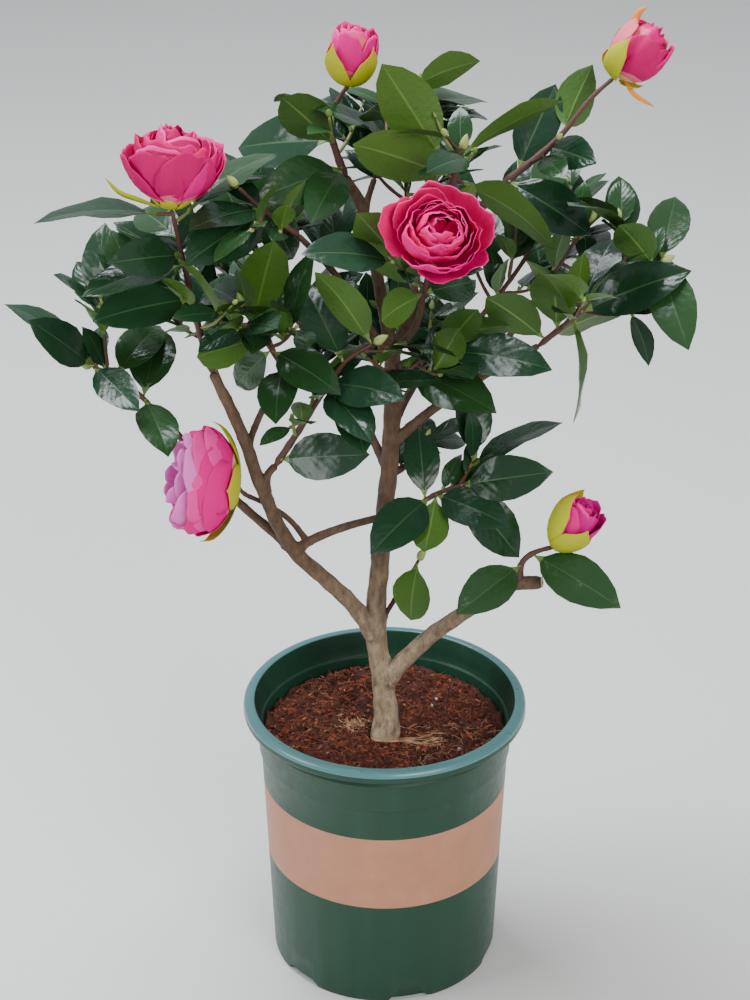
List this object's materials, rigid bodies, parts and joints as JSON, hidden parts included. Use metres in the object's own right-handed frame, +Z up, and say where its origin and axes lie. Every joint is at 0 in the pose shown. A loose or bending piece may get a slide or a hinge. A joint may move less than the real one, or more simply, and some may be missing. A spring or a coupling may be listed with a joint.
{
  "type": "potted camellia shrub",
  "caption": "Young flowering camellia shrub with an open, branching crown of glossy leaves and pink double blooms, standing in a round green nursery pot.",
  "frame": {"origin": "centre of the pot's flat underside", "axes": "+Z up, +X to the right of the picture, +Y away from the picture's camera, which stood at -Y looking down at about 27 degrees"},
  "size_m": [0.3816, 0.2353, 0.5803],
  "materials": {
    "pot_plastic": "semi-gloss moulded plastic",
    "potting_mix": "rough, damp composted bark",
    "bark": "smooth grey-brown bark, browner on the young wood",
    "foliage": "glossy leaves",
    "petals": "soft satin petals"
  },
  "bodies": {
    "root": {"pot": "pot_plastic", "potting_mix": "potting_mix", "trunk": "bark", "left_bough": "bark", "right_low_bough": "bark", "left_low_bough": "bark", "cross_bough": "bark", "bud_bough": "bark", "inner_bough": "bark", "middle_bough": "bark", "right_bough": "bark", "upper_bough": "bark", "upper_right_bough": "bark", "slanting_bough": "bark", "front_bough": "bark", "top_bough": "bark", "upper_centre_bough": "bark", "low_bough": "bark", "back_left_bough": "bark", "back_right_bough": "bark", "back_low_bough": "bark", "back_high_bough": "bark", "far_left_bough": "bark", "far_right_bough": "bark", "left_top_foliage": "foliage", "left_low_foliage": "foliage", "middle_foliage": "foliage", "inner_foliage": "foliage", "hanging_flower": "petals", "upper_left_foliage": "foliage", "top_left_foliage": "foliage", "top_foliage": "foliage", "upper_centre_foliage": "foliage", "upper_right_foliage": "foliage", "front_foliage": "foliage", "centre_foliage": "foliage", "right_foliage": "foliage", "cross_foliage": "foliage", "trunk_side_foliage": "foliage", "low_foliage": "foliage", "low_right_foliage": "foliage", "back_left_foliage": "foliage", "back_right_foliage": "foliage", "back_low_foliage": "foliage", "back_high_foliage": "foliage", "far_left_foliage": "foliage", "far_right_foliage": "foliage"}
  },
  "joints": []
}
